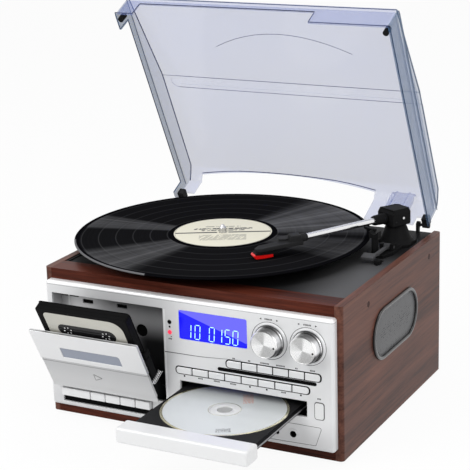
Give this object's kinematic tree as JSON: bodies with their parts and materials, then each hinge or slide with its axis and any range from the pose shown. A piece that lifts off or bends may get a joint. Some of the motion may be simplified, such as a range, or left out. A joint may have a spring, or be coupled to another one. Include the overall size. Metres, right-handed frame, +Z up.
{
  "type": "stereo music centre",
  "caption": "Wooden-cased music centre with a record player under a hinged clear cover, a CD tray, a cassette door, knobs, keys and buttons.",
  "frame": {"origin": "on the level of the feet, under the middle of the cabinet", "axes": "+Z up, -Y towards the front with the controls, +X to the right seen from the front"},
  "size_m": [0.3421, 0.415, 0.3979],
  "materials": {
    "walnut": "satin walnut veneer",
    "dark_walnut": "satin dark walnut veneer",
    "back_board": "matt black board",
    "foot_rubber": "matt",
    "deck_black": "fine satin black",
    "motor_metal": "satin",
    "arm_black": "satin black",
    "panel_silver": "silver lacquer",
    "bay_grey": "matt grey",
    "lens_blue": "clear over a blue backlight",
    "board_green": "lacquered board",
    "speaker_black": "paper cone",
    "grille_grey": "dark grey",
    "mechanism_grey": "matt",
    "socket_black": "matt",
    "clear_cover": "clear, faintly blue",
    "cover_trim": "matt",
    "hinge_grey": "matt",
    "spindle_steel": "polished",
    "platter_black": "black",
    "mat_felt": "felt",
    "vinyl_black": "grooved",
    "arm_silver": "polished",
    "shell_grey": "satin",
    "stylus_red": "translucent red",
    "lever_grey": "satin",
    "tray_dark": "matt",
    "fascia_silver": "silver lacquer",
    "disc_silver": "printed disc",
    "door_silver": "silver lacquer",
    "holder_black": "matt",
    "spring_steel": "bright",
    "cassette_black": "satin",
    "knob_silver": "brushed face",
    "key_silver": "silver lacquer",
    "button_silver": "silver lacquer"
  },
  "bodies": {
    "root": {"left_side_board": "walnut", "right_side_board": "walnut", "front_top_rail": "dark_walnut", "bottom_board": "dark_walnut", "rear_panel": "back_board", "rubber_feet": "foot_rubber", "turntable_deck": "deck_black", "drive_motor": "motor_metal", "tonearm_base": "arm_black", "front_panel": "panel_silver", "tape_bay": "bay_grey", "display_lens": "lens_blue", "main_board": "board_green", "speaker_drivers": "speaker_black", "speaker_grilles": "grille_grey", "cd_mechanism": "mechanism_grey", "panel_sockets": "socket_black", "rear_sockets": "socket_black", "case_screws": "walnut"},
    "cover": {"dust_cover": "clear_cover", "cover_bumpers": "cover_trim", "cover_hinges": "hinge_grey"},
    "turntable": {"platter_spindle": "spindle_steel", "platter": "platter_black", "slip_mat": "mat_felt", "vinyl_record": "vinyl_black"},
    "arm_carrier": {"arm_turret": "arm_black"},
    "tonearm": {"arm_tube": "arm_silver", "headshell": "shell_grey", "cartridge": "stylus_red"},
    "cue": {"cue_lever": "lever_grey"},
    "speed": {"speed_switch": "arm_black"},
    "tray": {"cd_tray": "tray_dark", "tray_fascia": "fascia_silver"},
    "disc": {"compact_disc": "disc_silver"},
    "door": {"tape_door": "door_silver", "cassette_holder": "holder_black", "door_spring": "spring_steel"},
    "tape": {"cassette": "cassette_black"},
    "tuning": {"tuning_knob": "knob_silver"},
    "volume": {"volume_knob": "knob_silver"},
    "key_1": {"tape_key_1": "key_silver"},
    "key_2": {"tape_key_2": "key_silver"},
    "key_3": {"tape_key_3": "key_silver"},
    "key_4": {"tape_key_4": "key_silver"},
    "key_5": {"tape_key_5": "key_silver"},
    "function_1": {"function_button_1": "button_silver"},
    "function_2": {"function_button_2": "button_silver"},
    "function_3": {"function_button_3": "button_silver"},
    "function_4": {"function_button_4": "button_silver"},
    "function_5": {"function_button_5": "button_silver"},
    "function_6": {"function_button_6": "button_silver"},
    "cd_1": {"cd_button_1": "button_silver"},
    "cd_2": {"cd_button_2": "button_silver"},
    "cd_3": {"cd_button_3": "button_silver"},
    "cd_4": {"cd_button_4": "button_silver"},
    "cd_5": {"cd_button_5": "button_silver"},
    "cd_6": {"cd_button_6": "button_silver"},
    "cd_7": {"cd_button_7": "button_silver"},
    "cd_8": {"cd_button_8": "button_silver"}
  },
  "joints": [
    {"name": "cover_hinge", "type": "hinge", "parent": "root", "child": "cover", "pos_m": [0, 0.125, 0.161], "axis": [-1, 0, 0], "range_deg": [-64, 0]},
    {"name": "platter_spin", "type": "hinge", "parent": "root", "child": "turntable", "pos_m": [-0.0315, 0.007, 0.1555], "axis": [0, 0, 1], "continuous": true},
    {"name": "arm_swing", "type": "hinge", "parent": "root", "child": "arm_carrier", "pos_m": [0.129, 0.0785, 0.1722], "axis": [0, 0, 1], "range_deg": [-15.9, 23.8]},
    {"name": "arm_lift", "type": "hinge", "parent": "arm_carrier", "child": "tonearm", "pos_m": [0.129, 0.0785, 0.1822], "axis": [-0.8846, 0.4664, 0], "range_deg": [0, 8]},
    {"name": "cue_lift", "type": "hinge", "parent": "root", "child": "cue", "pos_m": [0.1335, 0.044, 0.16], "axis": [-1, 0, 0], "range_deg": [0, 40]},
    {"name": "speed_slide", "type": "slide", "parent": "root", "child": "speed", "axis": [0, 1, 0], "range_m": [0, 0.008]},
    {"name": "tray_slide", "type": "slide", "parent": "root", "child": "tray", "axis": [0, -1, 0], "range_m": [-0.119, 0]},
    {"name": "disc_spin", "type": "hinge", "parent": "tray", "child": "disc", "pos_m": [0.0562, -0.1644, 0.053], "axis": [0, 0, 1], "continuous": true},
    {"name": "door_hinge", "type": "hinge", "parent": "root", "child": "door", "pos_m": [-0.086, -0.1114, 0.032], "axis": [1, 0, 0], "range_deg": [-27.5, 0]},
    {"name": "cassette_slide", "type": "slide", "parent": "door", "child": "tape", "axis": [0, -0.4617, 0.887], "range_m": [-0.036, 0]},
    {"name": "tuning_turn", "type": "hinge", "parent": "root", "child": "tuning", "pos_m": [0.09, -0.1365, 0.116], "axis": [0, -1, 0], "continuous": true},
    {"name": "volume_turn", "type": "hinge", "parent": "root", "child": "volume", "pos_m": [0.1288, -0.1365, 0.116], "axis": [0, -1, 0], "range_deg": [-150, 150]},
    {"name": "key_1_press", "type": "hinge", "parent": "root", "child": "key_1", "pos_m": [-0.12325, -0.0995, 0.029], "axis": [1, 0, 0], "range_deg": [0, 4], "stiffness_Nm_per_rad": 0.08, "springref_deg": -5.73},
    {"name": "key_2_press", "type": "hinge", "parent": "root", "child": "key_2", "pos_m": [-0.09785, -0.0995, 0.029], "axis": [1, 0, 0], "range_deg": [0, 4], "stiffness_Nm_per_rad": 0.08, "springref_deg": -5.73},
    {"name": "key_3_press", "type": "hinge", "parent": "root", "child": "key_3", "pos_m": [-0.08075, -0.0995, 0.029], "axis": [1, 0, 0], "range_deg": [0, 4], "stiffness_Nm_per_rad": 0.08, "springref_deg": -5.73},
    {"name": "key_4_press", "type": "hinge", "parent": "root", "child": "key_4", "pos_m": [-0.06365, -0.0995, 0.029], "axis": [1, 0, 0], "range_deg": [0, 4], "stiffness_Nm_per_rad": 0.08, "springref_deg": -5.73},
    {"name": "key_5_press", "type": "hinge", "parent": "root", "child": "key_5", "pos_m": [-0.04665, -0.0995, 0.029], "axis": [1, 0, 0], "range_deg": [0, 4], "stiffness_Nm_per_rad": 0.08, "springref_deg": -5.73},
    {"name": "function_1_press", "type": "slide", "parent": "root", "child": "function_1", "axis": [0, 1, 0], "range_m": [0, 0.0015], "stiffness_N_per_m": 300, "springref_m": -0.001},
    {"name": "function_2_press", "type": "slide", "parent": "root", "child": "function_2", "axis": [0, 1, 0], "range_m": [0, 0.0015], "stiffness_N_per_m": 300, "springref_m": -0.001},
    {"name": "function_3_press", "type": "slide", "parent": "root", "child": "function_3", "axis": [0, 1, 0], "range_m": [0, 0.0015], "stiffness_N_per_m": 300, "springref_m": -0.001},
    {"name": "function_4_press", "type": "slide", "parent": "root", "child": "function_4", "axis": [0, 1, 0], "range_m": [0, 0.0015], "stiffness_N_per_m": 300, "springref_m": -0.001},
    {"name": "function_5_press", "type": "slide", "parent": "root", "child": "function_5", "axis": [0, 1, 0], "range_m": [0, 0.0015], "stiffness_N_per_m": 300, "springref_m": -0.001},
    {"name": "function_6_press", "type": "slide", "parent": "root", "child": "function_6", "axis": [0, 1, 0], "range_m": [0, 0.0015], "stiffness_N_per_m": 300, "springref_m": -0.001},
    {"name": "cd_1_press", "type": "slide", "parent": "root", "child": "cd_1", "axis": [0, 1, 0], "range_m": [0, 0.0015], "stiffness_N_per_m": 300, "springref_m": -0.001},
    {"name": "cd_2_press", "type": "slide", "parent": "root", "child": "cd_2", "axis": [0, 1, 0], "range_m": [0, 0.0015], "stiffness_N_per_m": 300, "springref_m": -0.001},
    {"name": "cd_3_press", "type": "slide", "parent": "root", "child": "cd_3", "axis": [0, 1, 0], "range_m": [0, 0.0015], "stiffness_N_per_m": 300, "springref_m": -0.001},
    {"name": "cd_4_press", "type": "slide", "parent": "root", "child": "cd_4", "axis": [0, 1, 0], "range_m": [0, 0.0015], "stiffness_N_per_m": 300, "springref_m": -0.001},
    {"name": "cd_5_press", "type": "slide", "parent": "root", "child": "cd_5", "axis": [0, 1, 0], "range_m": [0, 0.0015], "stiffness_N_per_m": 300, "springref_m": -0.001},
    {"name": "cd_6_press", "type": "slide", "parent": "root", "child": "cd_6", "axis": [0, 1, 0], "range_m": [0, 0.0015], "stiffness_N_per_m": 300, "springref_m": -0.001},
    {"name": "cd_7_press", "type": "slide", "parent": "root", "child": "cd_7", "axis": [0, 1, 0], "range_m": [0, 0.0015], "stiffness_N_per_m": 300, "springref_m": -0.001},
    {"name": "cd_8_press", "type": "slide", "parent": "root", "child": "cd_8", "axis": [0, 1, 0], "range_m": [0, 0.0015], "stiffness_N_per_m": 300, "springref_m": -0.001}
  ],
  "couplings": [
    {"joint": "arm_lift", "follows": "cue_lift", "ratio": 0.2},
    {"joint": "cassette_slide", "follows": "door_hinge", "m_per_rad": 0.075}
  ]
}
